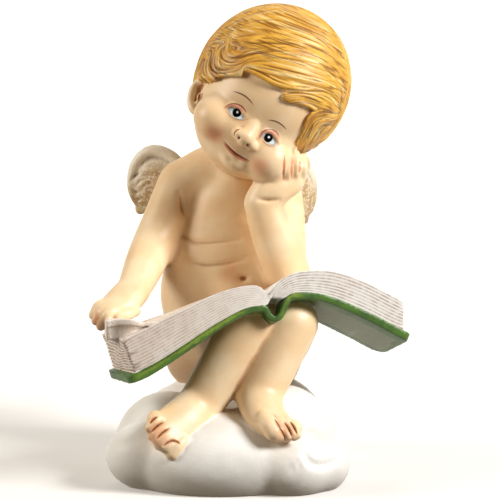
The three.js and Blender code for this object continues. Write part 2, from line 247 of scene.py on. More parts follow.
def left_forearm():
    """The forearm that carries the head, up to the back of the fist under the jaw."""
    forearm = [ELBOW_LEFT, ELBOW_LEFT.lerp(WRIST_LEFT, 0.5), WRIST_LEFT]
    fist = [WRIST_LEFT] + [at_depth(*place) for place in FIST_BACK]
    return [limb(forearm, (8.4, 8.6, 7)), limb(fist, (7.2, 7.4, 6.4), flat=(0.85,))]


def right_hand():
    """The flat of the hand on the page."""
    palm = [WRIST_RIGHT] + [at_depth(*place) for place in HAND_BACK]
    return limb(palm, (6.8, 7.8, 6.8), flat=(0.9, 0.7, 0.55), across=(0.8, -0.6, 0))


def head_block():
    return [
        ball(in_head(-2.5, 0, 1), (25.5, 30, 30.5), head_turn, rings=40),
        ball(in_head(-0.9, 6, -15), (21.7, 21.5, 18.8), head_turn, rings=40),
        ball(in_head(-12.5, 15, -19.8), (10, 10, 9.2), head_turn),
        ball(in_head(11.5, 16.5, -20), (10.2, 11, 9.6), head_turn),
        ball(in_head(1.5, 17.5, -28), (6.5, 5.5, 4.4), head_turn),
    ]


# The feet, in photograph pixels and with depths in millimetres: the middle line of each foot with its
# radii, the way across its toes, the depths of the toes' roots and tips, each toe from root to tip with
# its radius, and the clefts between the toes
RIGHT_FOOT = (
    ((ANKLE_RIGHT, 8.6), (at_depth((185.5, 420.5), -39), 9.2), (at_depth((170, 433), -46), 9.2)),
    (0.6, -0.1, -0.8), (-47.8, -50),
    (((160, 416.5), (150.5, 423), 1.2), ((161, 419), (149.3, 428), 1.7), ((167, 425.5), (152, 436.5), 1.6),
     ((173, 434.5), (159.6, 444.6), 2.2), ((182, 441.5), (172.2, 453.2), 2.7)),
    (((157.5, 416.7), (153.2, 419.7), (150.3, 423.6)), ((163.5, 422.3), (156.6, 426.6), (151.8, 431.4)),
     ((169.3, 428.6), (162.2, 433), (157.2, 438.4)), ((178.5, 442.5), (171.5, 441), (163.6, 446.2))),
)
LEFT_FOOT = (
    ((ANKLE_LEFT, 9), (at_depth((264.5, 414), -40), 8.2), (at_depth((278.5, 428), -45.5), 7.8)),
    (1, 0.1, -0.2), (-46.5, -50.5),
    (((264, 419), (273.5, 432), 3.4), ((280, 421), (288, 436.5), 1.8), ((286.5, 421), (294, 437), 1.6),
     ((290, 422), (297.5, 435.5), 1.5)),
    (((274.5, 419), (280.4, 428.4), (285, 438.5)), ((284, 422), (288.6, 429), (292, 437)),
     ((290, 421.5), (294, 427.5), (297, 434))),
)


def leg(hip, knee, ankle, heel, foot):
    """A bent leg down to the pad of its foot."""
    line, across = foot[:2]
    middle, radii = zip(*line)
    return [
        limb([hip, hip.lerp(knee, 0.5), knee], (14.5, 13.5, 10.4)),
        limb([knee, knee.lerp(ankle, 0.5), ankle], (10.4, 9.8, heel)),
        limb(middle, radii, flat=(0.95, 0.75, 0.5), across=across),
    ]


# Each limb is smoothed on its own first, so that a crease is left where it meets its neighbour.
clays = [
    knead("trunk", trunk_and_arms(), grain=1.2, strokes=30),
    knead("forearm", left_forearm(), grain=1, strokes=10),
    knead("right_leg", leg(HIP_RIGHT, KNEE_RIGHT, ANKLE_RIGHT, 8.6, RIGHT_FOOT), grain=1, strokes=14),
    knead("left_leg", leg(HIP_LEFT, KNEE_LEFT, ANKLE_LEFT, 9, LEFT_FOOT), grain=1, strokes=14),
    knead("head", head_block(), grain=0.9, strokes=12),
    right_hand(),
]
figure = knead("figure", clays, grain=0.7, strokes=5)


def toes(depths, rows):
    """Toes side by side, on the plate that they grow from."""
    roots = [at_depth(root, depths[0]) for root, _, _ in rows]
    tips = [at_depth(tip, depths[1]) for _, tip, _ in rows]
    plate = [root.lerp(tip, 0.5) + Vector((0, 1.6, 0)) for root, tip in zip(roots, tips)]
    middles = [root.lerp(tip, 0.5) + Vector((0, -0.6, 0.3)) for root, tip in zip(roots, tips)]
    sizes = [size for _, _, size in rows]
    return [limb(plate, (3.2,), flat=(0.8,))] + [
        limb(joints, (size,)) for *joints, size in zip(roots, middles, tips, sizes)]


# The fingers, in photograph pixels from knuckle to tip, with the depth of each in millimetres
FIST_FINGERS = (
    (((280.5, 182), -11.5), ((279.8, 168), -13.5), ((281.5, 156), -11)),
    (((288, 183), -10.5), ((287.8, 167), -13), ((288.8, 153.5), -9.5)),
    (((295.5, 182), -9.5), ((296, 167), -11.5), ((296.2, 154), -8)),
    (((301.5, 179), -8), ((303.6, 167.5), -9.5), ((302.5, 157), -6)),
)
PAGE_FINGERS = (
    (((113, 303), -20), ((100, 305.5), -22), ((93.5, 315), -22)),
    (((117, 307), -23), ((104, 309.5), -26), ((96, 320.5), -26)),
    (((121, 311), -26), ((109, 313), -29.5), ((101, 326), -29.5)),
    (((135, 311), -22), ((128, 314), -27), ((118, 315.5), -29)),
)


def fingers(rows, radii):
    return [limb([at_depth(*joint) for joint in row], radii) for row in rows]


# Places on the face, in photograph pixels
PUPILS = ((236.9, 112.6), (268.4, 137.7))
UPPER_LIDS = (((226.5, 106.5), (231, 104.8), (236.6, 105.8), (241.6, 109.8), (245.4, 116)),
              ((260.5, 135), (264.2, 131.2), (269.6, 131), (274.9, 135.3), (278.4, 142)))
LOWER_LIDS = (((226, 110), (231, 116), (236.5, 119.4), (242.5, 120.2)),
              ((262, 138.8), (265.2, 143.2), (270, 145.8), (275.6, 146)))
NOSE = ((255.5, 122), (251, 131), (246, 137.4))
NOSE_WINGS = ((238.6, 133.6), (252, 145.2))
NOSTRILS = ((239, 137.9), (247.4, 145))
MOUTH = ((224.2, 141), (228.4, 147), (235.6, 153.3), (241.8, 157), (247.6, 160.2))
NOSE_CREASE = ((234, 135.4), (235.6, 131.4), (240.5, 129.2))
CHIN_CREASE = ((226.9, 156.6), (229.5, 159.2), (232.5, 160.8))


def shifted(places, right, down):
    """Places in the photograph, moved by some pixels."""
    return [(px + right, py + down) for px, py in places]


def face_forms(surface):
    """The nose, lips, lids and eyeballs, laid on the smoothed face."""
    ridge = [seen(surface, place, lift) for place, lift in zip(NOSE, (-2.2, -1.4, -0.6))]
    forms = [limb(ridge, (2.6, 3, 3.8))]
    forms += [ball(seen(surface, place, -0.4), (2.3, 2.3, 2.3)) for place in NOSE_WINGS]
    upper_lip = [seen(surface, place, -0.8) for place in shifted(MOUTH[1:4], 1.4, -1.8)]
    lower_lip = [seen(surface, place, -0.9) for place in shifted(MOUTH[1:4], -1.6, 2.1)]
    forms += [limb(upper_lip, (0.8, 1.1, 0.8)), limb(lower_lip, (1, 1.5, 1))]
    for pupil, upper, lower in zip(PUPILS, UPPER_LIDS, LOWER_LIDS):
        forms.append(ball(seen(surface, pupil, -3.9), (4.2, 4.2, 4.2)))
        forms.append(limb([seen(surface, place, 0.2) for place in upper], (0.4, 0.65, 0.7, 0.65, 0.4)))
        forms.append(limb([seen(surface, place, -0.25) for place in lower], (0.4, 0.6, 0.6, 0.4)))
    return forms


def ear(side):
    """A shell with a rolled rim. The one on the viewer's left shows, the other is under the hair."""
    rim = [(22.4, 8, -9.8), (25.6, 6, -11.6), (26.4, 4.6, -15.8), (24.9, 5.4, -20), (21.9, 7.6, -22.7),
           (19.6, 9, -23)]
    inner = [(23, 8.2, -13.8), (23.6, 7.4, -17), (22, 8.4, -20)]
    return [
        limb([in_head(side * r, f, u) for r, f, u in rim], (1.1, 1.5, 1.6, 1.5, 1.7, 1.2)),
        limb([in_head(side * r, f, u) for r, f, u in inner], (0.7, 0.9, 0.7)),
        ball(in_head(side * 23, 4, -16.6), (2.8, 1.8, 5.6), head_turn),
    ]


block = surface_of(figure)
for pupil in PUPILS:
    press(figure, [seen(block, pupil)], width=4.2, depth=1.0)
block = surface_of(figure)
fine_forms = face_forms(block) + ear(-1) + ear(1)
fine_forms += fingers(FIST_FINGERS, (1.7, 1.75, 1.5)) + fingers(PAGE_FINGERS, (2.2, 2.2, 1.9))
for _, _, depths, rows, _ in (RIGHT_FOOT, LEFT_FOOT):
    fine_forms += toes(depths, rows)
figure = knead("figure", [figure] + fine_forms, grain=0.5, strokes=3)

# Tool marks in the skin, in photograph pixels: where each runs, its width and depth in millimetres
TOOL_MARKS = (
    (MOUTH, 0.4, 0.35),
    (NOSE_CREASE, 0.5, 0.5),
    (CHIN_CREASE, 1.0, 0.5),
    (((184, 237), (196.5, 242.5), (218, 242), (240, 239.4)), 1.1, 0.8),
    (((188, 262), (205, 265), (226, 263.5), (244, 259)), 1.2, 0.9),
    (((179, 193), (182, 207), (184, 216)), 1.1, 1.1),
    (((197, 84), (198.6, 93), (197, 103)), 1.2, 1.2),
    (((258, 199), (268, 200.4), (279, 200)), 0.8, 0.9),
    (((239.5, 277.6), (243.2, 278.6), (247, 277.8)), 1.1, 1.7),
)
FINGER_CLEFTS = (((284.6, 156), (283.8, 168), (283, 179)), ((292.2, 158), (291.6, 168), (291, 178)),
                 ((300, 161), (299.8, 167), (299, 173)))

skin_surface = surface_of(figure)
tool_marks = list(TOOL_MARKS) + [(line, 0.4, 0.7) for line in FINGER_CLEFTS]
tool_marks += [(line, 0.35, 0.9) for foot in (RIGHT_FOOT, LEFT_FOOT) for line in foot[-1]]
for line, width, depth in tool_marks:
    press(figure, [seen(skin_surface, place) for place in line], width, depth)
for place in NOSTRILS:
    press(figure, [seen(skin_surface, place)], width=0.6, depth=0.9)


def linear(code):
    """A colour from its sRGB hex code, as the linear values that shaders take."""
    channels = [int(code[i:i + 2], 16) / 255 for i in (1, 3, 5)]
    return (*(c / 12.92 if c <= 0.04045 else ((c + 0.055) / 1.055) ** 2.4 for c in channels), 1)


def node(tree, kind, links=None, **settings):
    """Add a node, with its settings and with sockets that are linked or hold a value."""
    new = tree.nodes.new(kind)
    for name, value in settings.items():
        setattr(new, name, value)
    for socket, source in (links or {}).items():
        if isinstance(source, bpy.types.NodeSocket):
            tree.links.new(source, new.inputs[socket])
        else:
            new.inputs[socket].default_value = source
    return new


def glaze(tree, share, under, over):
    """One coat of colour over another. A colour is a hex code or a socket."""
    coats = [linear(coat) if isinstance(coat, str) else coat for coat in (under, over)]
    return node(tree, "ShaderNodeMix", {0: share, 6: coats[0], 7: coats[1]}, data_type="RGBA").outputs[2]


def fade(tree, value, start, end, low=0.0, high=1.0):
    """A value turned into a share of a coat, rising smoothly from start to end."""
    links = {"Value": value, "From Min": start, "From Max": end, "To Min": low, "To Max": high}
    return node(tree, "ShaderNodeMapRange", links, interpolation_type="SMOOTHSTEP").outputs["Result"]


def mottle(tree, size, low=0.35, high=0.65):
    """Uneven patches of about the given size in millimetres."""
    place = node(tree, "ShaderNodeTexCoord").outputs["Object"]
    noise = node(tree, "ShaderNodeTexNoise", {"Vector": place, "Scale": 1 / (size * MM), "Detail": 3})
    return fade(tree, noise.outputs["Fac"], low, high)


def new_paint(name, roughness):
    """A plain coat, with the IOR that is usual for the binder of a paint."""
    material = bpy.data.materials.new(name)
    material.use_nodes = True
    shader = material.node_tree.nodes["Principled BSDF"]
    shader.inputs["Roughness"].default_value = roughness
    shader.inputs["IOR"].default_value = 1.5
    return material, material.node_tree, shader


def brush_marks(tree, shader, size, height):
    """The fine unevenness that a brush and the mould leave in the coat."""
    place = node(tree, "ShaderNodeTexCoord").outputs["Object"]
    noise = node(tree, "ShaderNodeTexNoise", {"Vector": place, "Scale": 1 / (size * MM), "Detail": 4})
    links = {"Height": noise.outputs["Fac"], "Distance": height * MM, "Strength": 1}
    tree.links.new(node(tree, "ShaderNodeBump", links).outputs[0], shader.inputs["Normal"])


def mark_of(tree, name):
    """A mark that each point of the casting carries, such as "wash" where thin dark paint has stayed."""
    return node(tree, "ShaderNodeAttribute", attribute_name=name).outputs["Fac"]


def spot(tree, centre, inner, outer, strength=1.0):
    """A round patch about a point: full within the inner radius in millimetres, gone past the outer."""
    place = node(tree, "ShaderNodeTexCoord").outputs["Object"]
    apart = node(tree, "ShaderNodeVectorMath", {0: place, 1: Vector(centre) * MM}, operation="DISTANCE")
    return fade(tree, apart.outputs["Value"], inner * MM, outer * MM, strength, 0.0)


def circle_through(a, b, c):
    ab, ac = b - a, c - a
    normal = ab.cross(ac)
    centre = a + (normal.cross(ab) * ac.length_squared + ac.cross(normal) * ab.length_squared) / (
        2 * normal.length_squared)
    return centre, (centre - a).length


def stroke(tree, line, width):
    """A brush line through the first, middle and last of some points, thinning out to its ends.

    It is drawn as the viewer faces it: depth is left out of the distance from its circle.
    """
    start, middle, end = line[0], line[len(line) // 2], line[-1]
    centre, radius = circle_through(*(point - AHEAD * point.dot(AHEAD) for point in (start, middle, end)))
    length = max((start - middle).length, (end - middle).length)
    place = node(tree, "ShaderNodeTexCoord").outputs["Object"]
    depth = node(tree, "ShaderNodeVectorMath", {0: place, 1: AHEAD}, operation="PROJECT").outputs[0]
    flat = node(tree, "ShaderNodeVectorMath", {0: place, 1: depth}, operation="SUBTRACT").outputs[0]
    off = node(tree, "ShaderNodeVectorMath", {0: flat, 1: centre * MM}, operation="DISTANCE")
    off = node(tree, "ShaderNodeMath", {0: off.outputs["Value"], 1: radius * MM}, operation="SUBTRACT")
    off = node(tree, "ShaderNodeMath", {0: off.outputs[0]}, operation="ABSOLUTE").outputs[0]
    on = node(tree, "ShaderNodeVectorMath", {0: place, 1: middle * MM}, operation="DISTANCE")
    on = node(tree, "ShaderNodeMath", {0: on.outputs["Value"], 1: 1 / (length * MM)}, operation="MULTIPLY")
    on = node(tree, "ShaderNodeMath", {0: on.outputs[0], 1: 3}, operation="POWER").outputs[0]
    reach = node(tree, "ShaderNodeMath", {0: off, 1: 2 / (width * MM), 2: on}, operation="MULTIPLY_ADD")
    return fade(tree, reach.outputs[0], 0.7, 1.3, 1.0, 0.0)


PICTURE_ROLL = Quaternion(AHEAD, math.radians(HEAD_ROLL))
EYE_DEPTH = 6


def almond(tree, centre, half_width, half_height):
    """The open part of an eye: an oval that lies as the head leans."""
    across, above = PICTURE_ROLL @ RIGHT, PICTURE_ROLL @ UP
    turn = Matrix((across, AHEAD, above)).transposed().to_euler()
    place = node(tree, "ShaderNodeTexCoord").outputs["Object"]
    size = (half_width * MM, EYE_DEPTH * MM, half_height * MM)
    links = {"Vector": place, "Location": centre * MM, "Rotation": turn, "Scale": size}
    place = node(tree, "ShaderNodeMapping", links, vector_type="TEXTURE").outputs[0]
    return node(tree, "ShaderNodeVectorMath", {0: place}, operation="LENGTH").outputs["Value"]


# The open part of each eye: its middle in photograph pixels, half its width and height in millimetres
EYES = (((236, 113.6), 3.6, 1.5), ((269, 139.2), 3.2, 1.5))
BROWS = (((232.5, 91.5), (244, 95.5), (253.5, 105.5)), ((268.9, 120.2), (279, 123), (286.4, 130)))
# Airbrushed blush, and last painted shade in the bend of the elbow: where, how far it is full and how far it
# reaches in millimetres, and its strength
BLUSHES_AND_SHADE = (((213.8, 134.2), 0.5, 6.2, 0.55), ((259, 167), 0.5, 6.2, 0.5), ((230, 272), 0.5, 6, 0.35),
           ((157, 436), 2, 7, 0.4), ((286, 433), 1, 6, 0.35), ((96, 320), 1, 6, 0.4),
           ((291, 168), 1, 7, 0.15), ((285, 213), 1, 5, 0.25))
# Painted shade in brown, laid like the blush: under the book and where the limbs meet; and brown at a
# fingertip
SHADES = (((178, 365), 6, 22, 0.6), ((186, 207), 0.5, 6, 0.3), ((101, 326), 1, 6, 0.6))


def painted_eyes(tree, shader, coat, at):
    """The eyes: painted shade round each, a white between its lids with painted shade at its edge and along
    the lower lid, a black pupil and its glint, all duller than the skin.
    """
    gloss = shader.inputs["Specular IOR Level"].default_value
    for (eye, half_width, half_height), pupil, upper, lower in zip(EYES, PUPILS, UPPER_LIDS, LOWER_LIDS):
        middle, dark, glint = at([eye, pupil] + shifted([pupil], 0.5, -0.5))
        inside = almond(tree, middle, half_width, half_height)
        # painted shade round the eye
        coat = glaze(tree, fade(tree, inside, 1.0, 2.0, 0.3, 0.0), coat, "#a8642f")
        coat = glaze(tree, stroke(tree, at(upper), 1.3), coat, "#e09a7e")
        # painted shade at the edge of the white
        coat = glaze(tree, fade(tree, inside, 0.9, 1.05, 1.0, 0.0), coat, "#96a0a0")
        coat = glaze(tree, fade(tree, inside, 0.6, 0.95, 1.0, 0.0), coat, "#dbe6ea")
        coat = glaze(tree, stroke(tree, at(shifted(upper, 1.1, -1.5)), 0.45), coat, "#7d4425")
        # painted shade: a soft line along the lower lid
        coat = glaze(tree, stroke(tree, at(lower), 0.4), coat, "#b98c63")
        coat = glaze(tree, spot(tree, dark, 1.65, 1.85), coat, "#020202")
        coat = glaze(tree, spot(tree, glint, 0.3, 0.55), coat, "#ffffff")
        dull = fade(tree, inside, 0.9, 1.2, 0.03, 0.5)
        gloss = node(tree, "ShaderNodeMath", {0: gloss, 1: dull}, operation="MINIMUM").outputs[0]
    tree.links.new(gloss, shader.inputs["Specular IOR Level"])
    return coat


def flesh_paint(surface):
    """Satin flesh paint, airbrushed with blush and with painted shade, the features drawn with a fine brush.
    """
    material, tree, shader = new_paint("flesh_paint", 0.42)

    def at(places):
        return [seen(surface, place) for place in places]

    coat = glaze(tree, mottle(tree, 14), "#f5dab2", "#eecb9d")
    coat = glaze(tree, fade(tree, mark_of(tree, "wash"), 0.1, 1.0, 0.0, 0.85), coat, "#a8662c")
    # Blush, and painted shade: brown under the book and where the limbs meet, orange in the bend of the
    # elbow
    for patches, colour in ((BLUSHES_AND_SHADE, "#d9713f"), (SHADES, "#8a5a2c")):
        for place, inner, outer, strength in patches:
            coat = glaze(tree, spot(tree, seen(surface, place), inner, outer, strength), coat, colour)
    coat = painted_eyes(tree, shader, coat, at)
    lines = [(brow, 0.55, "#6e4120") for brow in BROWS]
    lines += [(shifted(MOUTH, -1, 1.2), 1.2, "#d98b62"), (MOUTH, 0.7, "#7a2a14")]
    lines.append((NOSE_CREASE, 0.5, "#8f5128"))
    for cleft in RIGHT_FOOT[-1] + LEFT_FOOT[-1]:
        lines += [(cleft, 1.5, "#d79a68"), (cleft, 0.5, "#6b3613")]
    lines += [(cleft, 1.0, "#cf9060") for cleft in FINGER_CLEFTS]
    for line, width, colour in lines:
        coat = glaze(tree, stroke(tree, at(line), width), coat, colour)
    for nostril in at(NOSTRILS):
        coat = glaze(tree, spot(tree, nostril, 0.35, 0.8), coat, "#6e3413")
    tree.links.new(coat, shader.inputs["Base Color"])
    brush_marks(tree, shader, 0.9, 0.04)
    return material


def spread(values, pairs, strokes):
    """Values at the points of a mesh, smoothed a number of times over the points they are joined to."""
    first, second = pairs.T
    count = len(values)
    joined = np.bincount(first, minlength=count) + np.bincount(second, minlength=count)
    for _ in range(strokes):
        total = np.bincount(first, values[second], count) + np.bincount(second, values[first], count)
        values = total / joined
    return values


def hollows(clay, strokes, depth):
    """How far each point lies in a hollow of the skin: 1 where smoothing it would fill it by the depth."""
    pairs = np.empty(2 * len(clay.data.edges), np.int64)
    clay.data.edges.foreach_get("vertices", pairs)
    pairs = pairs.reshape(-1, 2)
    points = points_of(clay)
    smoothed = np.stack([spread(points[:, i], pairs, strokes) for i in range(3)], axis=1)
    filled = np.einsum("ij,ij->i", smoothed - points, normals_of(clay))
    return np.clip(spread(filled, pairs, 3) / depth, 0, 1)


def paint_over(clay, paint):
    clay.data.materials.clear()
    clay.data.materials.append(paint)


paint_over(figure, flesh_paint(surface_of(figure)))
# The marks of each form: its points, and the wash and the wear at each; on the cover's near edge the wear is
# also painted highlight
wash = hollows(figure, strokes=10, depth=0.3)
marks = [(points_of(figure), wash, 0 * wash)]


# Hair
# A thick head of short hair combed from one temple over the crown to the other, modelled as a proud
# cap with the face cut out of it and scored into strands with a comb. Painted gold, with a brown wash
# left in the grooves.
CAP_CENTRE = (-3.6, -1.5, 4)
CAP_RADII = (29.4, 32.6, 31.2)
# How far before the middle of the head the cut for the face starts and ends
FACE_CUT = (60, 2)
# The lower edge of the hair, from the temples down to the nape: its height, its slope, and how far the
# cut below it reaches
EDGE_HEIGHT = -15
EDGE_SLOPE = math.tan(math.radians(18))
EDGE_REACH = 60
# The edge of the hair round the face, in photograph pixels: smooth runs between the tips of locks
HAIRLINE = (
    ((199, 99), (203.4, 91)),
    ((203.4, 91), (210, 86), (215, 79.5), (221, 76), (231, 75), (240.5, 76)),
    ((240.5, 76), (243, 72), (247.3, 70.6), (258.7, 76.5), (275.7, 86.4), (284, 91)),
    ((284, 91), (282.5, 97.5)),
    ((282.5, 97.5), (288, 102), (297, 104.4), (307, 105.8), (315, 110.5)),
    ((315, 110.5), (308.5, 116), (304.4, 124.7), (301, 134.6), (294.5, 143)),
    ((294.5, 143), (297, 147), (302, 152)),
    ((302, 152), (330, 190), (199, 190)),
)


def prism(outline, place, near, far):
    """A flat outline drawn out between two depths. place turns its coordinates and a depth into a point."""
    bpy.ops.mesh.primitive_circle_add(vertices=len(outline), fill_type="NGON")
    clay = bpy.context.object
    bpy.ops.object.mode_set(mode="EDIT")
    bpy.ops.mesh.extrude_region_move(TRANSFORM_OT_translate={"value": (0, 0, 1)})
    bpy.ops.object.mode_set(mode="OBJECT")
    share = points_of(clay)[:, 2]
    corners = list(outline) * 2
    move_points(clay, [place(a, b, near + (far - near) * s) for (a, b), s in zip(corners, share)])
    face_outwards(clay)
    return clay


def face_outwards(clay):
    bpy.ops.object.select_all(action="DESELECT")
    clay.select_set(True)
    bpy.context.view_layer.objects.active = clay
    bpy.ops.object.mode_set(mode="EDIT")
    bpy.ops.mesh.select_all(action="SELECT")
    bpy.ops.mesh.normals_make_consistent(inside=False)
    bpy.ops.object.mode_set(mode="OBJECT")


def combine(clay, other, operation):
    modify(clay, "BOOLEAN", object=other, operation=operation, solver="MANIFOLD",
           material_mode="TRANSFER")
    bpy.data.objects.remove(other)


def hair_cap():
    cap = ball(in_head(*CAP_CENTRE), CAP_RADII, head_turn, rings=60)
    runs = [spline(run, np.linspace(0, 1, 4 * len(run), endpoint=False)) for run in HAIRLINE]
    to_head = (HEAD - EYE).length
    near, far = (to_head - before for before in FACE_CUT)
    face = prism(np.concatenate(runs).tolist(), lambda px, py, away: EYE + sight(px, py) * away, near, far)
    combine(cap, face, "DIFFERENCE")

    def under_edge(right, forward, down):
        return in_head(right, forward, EDGE_HEIGHT + forward * EDGE_SLOPE - down)

    square = [(EDGE_REACH * a, EDGE_REACH * b) for a, b in ((-1, -1), (1, -1), (1, 1), (-1, 1))]
    combine(cap, prism(square, under_edge, 0, EDGE_REACH), "DIFFERENCE")
    return cap


# The way the hair is combed, in photograph pixels: lines from their roots on
COMBED = (
    ((197.7, 68), (206, 46.7), (221.8, 28.3), (244.5, 14.2), (270, 7.8), (298, 8.5), (324, 21), (341, 38),
     (348, 60)),
    ((202, 59.5), (213.3, 42.5), (231.7, 28.3), (253, 19.8), (277, 18.4), (302.6, 25.5), (324, 37),
     (338, 52.4)),
    ((206.2, 52.4), (220.4, 39.7), (241.7, 30.5), (260, 28.3), (284, 34), (305, 41), (325, 52), (340, 70)),
    ((234.6, 46.7), (231.7, 42.5), (241.7, 38.2), (258.7, 36.8), (281.3, 40.4), (298.3, 42.5), (320, 50)),
    ((229, 41), (228.6, 45), (231.7, 49.6), (240.2, 53), (255.8, 49.6), (284, 46.7), (309.7, 48),
     (330, 60)),
    ((226, 44), (219.7, 50), (220.4, 59.5), (229, 64.5), (238.8, 63.7), (247.3, 59.5), (264.3, 56),
     (292.7, 56.7), (318, 62)),
    ((213.3, 52), (211, 65), (217.6, 72), (231.7, 70.8), (240, 69.4)),
    ((241.7, 75), (244.5, 66.6), (253, 62.3), (272.8, 62.3), (298.3, 66), (325, 76)),
    ((247.3, 69.4), (258.7, 75), (272.8, 83.6), (287, 89), (302.6, 90.7), (319.6, 91)),
    ((255.8, 67), (277, 71.5), (298.3, 78), (319.6, 84), (338, 92)),
    ((284, 97.7), (298.3, 96.3), (309.7, 99), (321, 106), (335, 112)),
    ((326.7, 63.7), (338, 73.7), (343.7, 87.8), (342, 105)),
    ((338, 117), (322, 113), (310.5, 118), (305, 130.3), (298, 143)),
    ((336, 122), (321, 124.7), (312.5, 134.6), (303, 148.7)),
    ((335, 131), (323.8, 136), (312.5, 147.3), (306, 154)),
    ((203.4, 60), (200.6, 74), (205, 83.6), (204, 92)),
    ((209, 58), (208, 72), (214, 80)),
)


def combed_way():
    """Points along the combed lines, and the way the hair runs at each."""
    places, ways = [], []
    for line in COMBED:
        run = spline(line, np.linspace(0, 1, 8 * len(line)))
        way = np.gradient(run, axis=0)
        places.append(run)
        ways.append(way / np.linalg.norm(way, axis=1)[:, None])
    return np.concatenate(places), np.concatenate(ways)


def way_at(spots, places, ways):
    """The way the hair runs at some spots, from the combed lines near each."""
    apart = ((spots[:, None] - places[None]) ** 2).sum(2)
    way = (apart + 2) ** -2 @ ways
    return way / np.linalg.norm(way, axis=1)[:, None]


# The field of pixels round the head that the strands are worked out in, and the part that holds hair
FIELD_CORNER = (160, -25)
FIELD_SIZE = (225, 210)
HAIR_LOW = (185, 0)
HAIR_HIGH = (356, 158)


def strand_field():
    """A number for each pixel that stays the same along a strand and grows across the strands.

    It is the field whose slope comes nearest to the way across the hair, found from its waves.
    """
    places, ways = combed_way()
    columns, rows = FIELD_SIZE
    x, y = np.meshgrid(np.arange(columns), np.arange(rows))
    spots = np.stack([x, y], axis=2) + np.array(FIELD_CORNER)
    way = np.stack([way_at(row, places, ways) for row in spots])
    across = np.stack([-way[:, :, 1], way[:, :, 0]])
    mean = across.mean((1, 2))
    wave_x, wave_y = np.meshgrid(2 * np.pi * np.fft.fftfreq(columns), 2 * np.pi * np.fft.fftfreq(rows))
    square = wave_x**2 + wave_y**2
    square[0, 0] = 1
    slope_x, slope_y = np.fft.fft2(across - mean[:, None, None])
    field = np.real(np.fft.ifft2(-1j * (wave_x * slope_x + wave_y * slope_y) / square))
    return field + mean[0] * x + mean[1] * y


def field_at(field, shown):
    """The field read between its pixels."""
    place = np.clip(shown[:, :2] - np.array(FIELD_CORNER), 0, np.array(FIELD_SIZE) - 1.01)
    column, row = place.astype(int).T
    right, down = (place - place.astype(int)).T
    upper = field[row, column] * (1 - right) + field[row, column + 1] * right
    lower = field[row + 1, column] * (1 - right) + field[row + 1, column + 1] * right
    return upper * (1 - down) + lower * down


def scored_lines(gap, seed):
    """Lines drawn with the comb's points: they follow the hair, and keep about a gap of pixels apart."""
    places, ways = combed_way()
    chance = np.random.default_rng(seed)
    drawn = {}
    lines = []

    def cell(place):
        return int(place[0] // gap), int(place[1] // gap)

    def clear(place, room, own):
        i, j = cell(place)
        cells = [(a, b) for a in (i - 1, i, i + 1) for b in (j - 1, j, j + 1)]
        near = [mark for key in cells for mark in drawn.get(key, ())]
        return not any(line != own and math.dist(place, other) < room for line, other in near)

    for start in chance.uniform(HAIR_LOW, HAIR_HIGH, (int(6e4 / gap**2), 2)):
        if not clear(start, gap, -1):
            continue
        halves = []
        for step in (-0.7, 0.7):
            place, half = start, []
            for _ in range(int(chance.uniform(20, 80))):
                place = place + step * way_at(place[None], places, ways)[0]
                inside = np.all(place > HAIR_LOW) and np.all(place < HAIR_HIGH)
                if not (inside and clear(place, 0.6 * gap, len(lines))):
                    break
                half.append(tuple(place))
                drawn.setdefault(cell(place), []).append((len(lines), tuple(place)))
            halves.append(half)
        lines.append(halves[0][::-1] + halves[1])
    shares = [np.linspace(0.06, 0.94, len(line)) for line in lines]
    taper = [np.sin(np.pi * share) ** 0.8 * chance.uniform(0.4, 1) for share in shares]
    return np.array([place for line in lines for place in line]), np.concatenate(taper)


def nearest_of(points, others):
    """For each point, how far the nearest of some others is, and which one it is."""
    tree = KDTree(len(others))
    for i, other in enumerate(others):
        tree.insert(other, i)
    tree.balance()
    found = [tree.find(point)[1:] for point in points]
    return np.array([apart for _, apart in found]), np.array([i for i, _ in found])


def shown_at(points):
    """Where points show in the photograph, in its pixels."""
    offset = points - np.array(EYE)
    ahead = offset @ np.array(AHEAD)
    right = FOCAL * (offset @ np.array(RIGHT)) / ahead
    up = FOCAL * (offset @ np.array(UP)) / ahead
    return np.stack([HALF_FRAME + right, HALF_FRAME - up, 0 * ahead], axis=1)


def front_grooves(clay, gap, width, seed):
    """How deep in a scored line each point is that faces the viewer. The gap and width are in pixels."""
    lines, strength = scored_lines(gap, seed)
    apart, which = nearest_of(shown_at(points_of(clay)), np.pad(lines, ((0, 0), (0, 1))))
    return np.exp(-(apart / width) ** 2) * strength[which]


# The temples, in photograph pixels
TEMPLES = ((203, 90), (302, 149))


def crown_turn(points, temples):
    """How far points are along the line between the temples, off it, and round it in turns."""
    start, end = (np.array(place) for place in temples)
    axis = (end - start) / np.linalg.norm(end - start)
    towards = -np.array(AHEAD)
    first = towards - axis * (towards @ axis)
    first /= np.linalg.norm(first)
    offset = points - (start + end) / 2
    run = offset @ axis
    aside, above = offset @ first, offset @ np.cross(first, axis)
    turn = np.arctan2(above, aside) / (2 * np.pi)
    sway = 0.016 * np.sin(0.09 * run + 9 * turn) + 0.007 * np.sin(0.21 * run + 31 * turn)
    return run, np.hypot(aside, above), turn + sway


def crown_grooves(clay, temples, count, width, seed):
    """How deep each point is in lines that run from temple to temple over the crown and the nape."""
    run, off, turn = crown_turn(points_of(clay), temples)
    strand = turn * count + 0.4 * np.sin(0.12 * run + seed + 40 * turn)
    keep = np.round(strand)
    pitch = 2 * np.pi * off / count
    unevenness = 0.55 + 0.45 * np.sin(12.9 * keep + seed + 0.05 * run)
    depth = np.exp(-(np.abs(strand - keep) * pitch / width) ** 2)
    return depth * unevenness * np.clip((pitch - 0.5) / 0.6, 0, 1)


# How squarely the hair has to face the viewer for the combed lines to start, and for them to be full
FRONT_STARTS = 0.25
FRONT_FULL = 0.5


